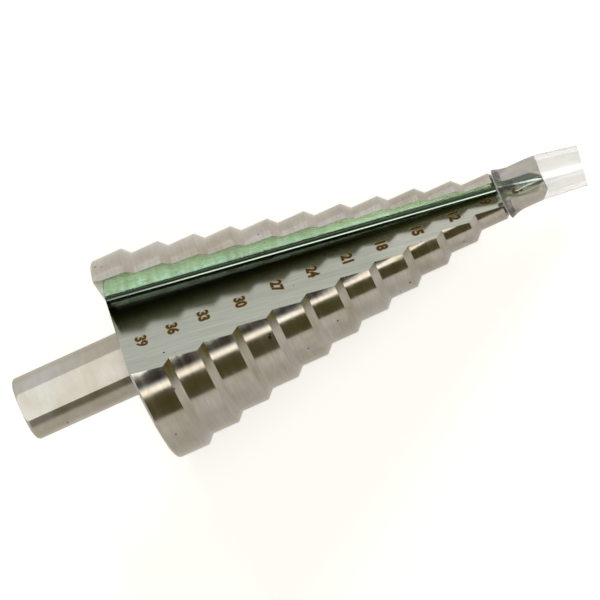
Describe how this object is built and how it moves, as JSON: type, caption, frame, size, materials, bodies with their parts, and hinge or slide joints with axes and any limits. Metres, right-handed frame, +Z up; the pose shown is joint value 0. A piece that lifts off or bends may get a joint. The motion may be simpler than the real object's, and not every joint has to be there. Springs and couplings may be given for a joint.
{
  "type": "step drill",
  "caption": "Straight-fluted step drill of ground high-speed steel for sheet metal, with a flatted shank and a clear soft cap over its point.",
  "frame": {"origin": "centre of the bounding box's bottom face, on the surface that the drill lies on", "axes": "+Z up; +X level, along the drill's length from shank to point; the drill's own axis leans 8.8 degrees below +X, as it lies on two flute edges and the cap"},
  "size_m": [0.1106, 0.039, 0.0349],
  "materials": {
    "tool_steel": "ground and polished high-speed steel, bare",
    "clear_vinyl": "clear soft vinyl tube, smooth"
  },
  "bodies": {
    "drill": {"drill_body": "tool_steel"},
    "cap": {"tip_cap": "clear_vinyl"}
  },
  "joints": [
    {"name": "cap_pull", "type": "slide", "parent": "drill", "child": "cap", "axis": [0.9881, 0, -0.1537], "range_m": [0, 0.02]}
  ]
}
